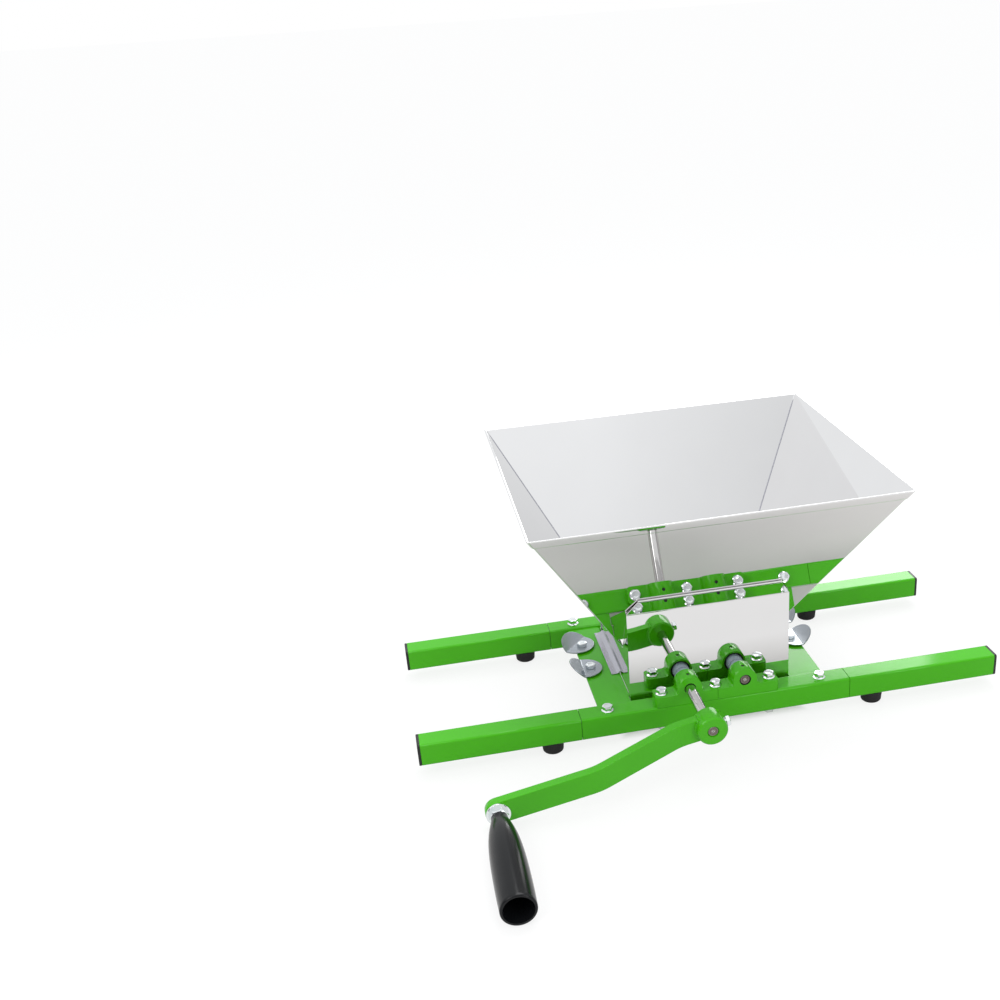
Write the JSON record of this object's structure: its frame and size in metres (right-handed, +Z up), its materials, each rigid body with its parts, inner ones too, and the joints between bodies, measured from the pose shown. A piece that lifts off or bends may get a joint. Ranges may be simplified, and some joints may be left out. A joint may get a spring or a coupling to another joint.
{
  "type": "fruit crusher",
  "caption": "Hand-cranked apple scratter: square stainless hopper over two toothed rollers on a green tube frame with four plug-in legs, bearing blocks and turning lock discs.",
  "frame": {"origin": "on the floor under the middle of the whole part's box; the shafts lie 56 mm above it", "axes": "+X to the right along the rails, +Y to the rear along the roller shafts, away from the crank, +Z up"},
  "size_m": [0.636, 0.5514, 0.2635],
  "materials": {
    "green_paint": "glossy powder coat",
    "polished_stainless": "mirror polished",
    "zinc_plate": "bright zinc plate",
    "ground_steel": "ground",
    "cast_aluminium": "as cast",
    "black_rubber": "matt",
    "black_plastic": "satin",
    "nylon": "satin",
    "gloss_grip": "glossy"
  },
  "bodies": {
    "frame": {"front_rail": "green_paint", "rear_rail": "green_paint", "left_cross_plate": "green_paint", "right_cross_plate": "green_paint", "front_left_leg": "green_paint", "front_right_leg": "green_paint", "rear_left_leg": "green_paint", "rear_right_leg": "green_paint", "leg_connectors": "ground_steel", "leg_end_caps": "black_plastic", "rubber_feet": "black_rubber", "foot_studs": "zinc_plate", "leg_lock_bolts": "zinc_plate", "front_left_bearing": "green_paint", "front_right_bearing": "green_paint", "rear_left_bearing": "green_paint", "rear_right_bearing": "green_paint", "bearing_bolts": "zinc_plate", "bearing_nuts": "zinc_plate", "shaft_bushes": "nylon", "seal_rings": "black_rubber", "front_apron": "polished_stainless", "rear_apron": "polished_stainless", "left_skirt": "polished_stainless", "right_skirt": "polished_stainless", "hopper_front_wall": "polished_stainless", "hopper_rear_wall": "polished_stainless", "hopper_left_wall": "polished_stainless", "hopper_right_wall": "polished_stainless", "lock_disc_bolts": "zinc_plate", "lock_disc_spacers": "zinc_plate", "lock_disc_nuts": "zinc_plate"},
    "crank": {"drive_shaft": "ground_steel", "drive_roller": "cast_aluminium", "drive_roller_pins": "ground_steel", "crank_hub": "green_paint", "crank_arm": "green_paint", "hub_set_screw": "zinc_plate", "grip_bolt": "zinc_plate", "grip_washer": "zinc_plate", "grip_nut": "zinc_plate"},
    "driven": {"driven_shaft": "ground_steel", "driven_roller": "cast_aluminium", "driven_roller_pins": "ground_steel"},
    "grip": {"grip": "gloss_grip"},
    "front_left_disc": {"front_left_lock_disc": "polished_stainless"},
    "rear_left_disc": {"rear_left_lock_disc": "polished_stainless"},
    "front_right_disc": {"front_right_lock_disc": "polished_stainless"},
    "rear_right_disc": {"rear_right_lock_disc": "polished_stainless"}
  },
  "joints": [
    {"name": "crank_turn", "type": "hinge", "parent": "frame", "child": "crank", "pos_m": [-0.03, 0, 0.056], "axis": [0, 1, 0], "continuous": true},
    {"name": "driven_turn", "type": "hinge", "parent": "frame", "child": "driven", "pos_m": [0.03, 0, 0.056], "axis": [0, 1, 0], "continuous": true},
    {"name": "grip_spin", "type": "hinge", "parent": "crank", "child": "grip", "pos_m": [-0.24963, 0, 0.0174], "axis": [0, 1, 0], "continuous": true},
    {"name": "front_left_disc_turn", "type": "hinge", "parent": "frame", "child": "front_left_disc", "pos_m": [-0.117, 0.0767, 0.037], "axis": [0, 0, 1], "range_deg": [0, 110]},
    {"name": "rear_left_disc_turn", "type": "hinge", "parent": "frame", "child": "rear_left_disc", "pos_m": [-0.117, 0.1287, 0.037], "axis": [0, 0, 1], "range_deg": [-90, 0]},
    {"name": "front_right_disc_turn", "type": "hinge", "parent": "frame", "child": "front_right_disc", "pos_m": [0.117, 0.0767, 0.037], "axis": [0, 0, 1], "range_deg": [-110, 0]},
    {"name": "rear_right_disc_turn", "type": "hinge", "parent": "frame", "child": "rear_right_disc", "pos_m": [0.117, 0.1287, 0.037], "axis": [0, 0, 1], "range_deg": [0, 110]}
  ],
  "couplings": [
    {"joint": "driven_turn", "follows": "crank_turn", "ratio": -1}
  ]
}
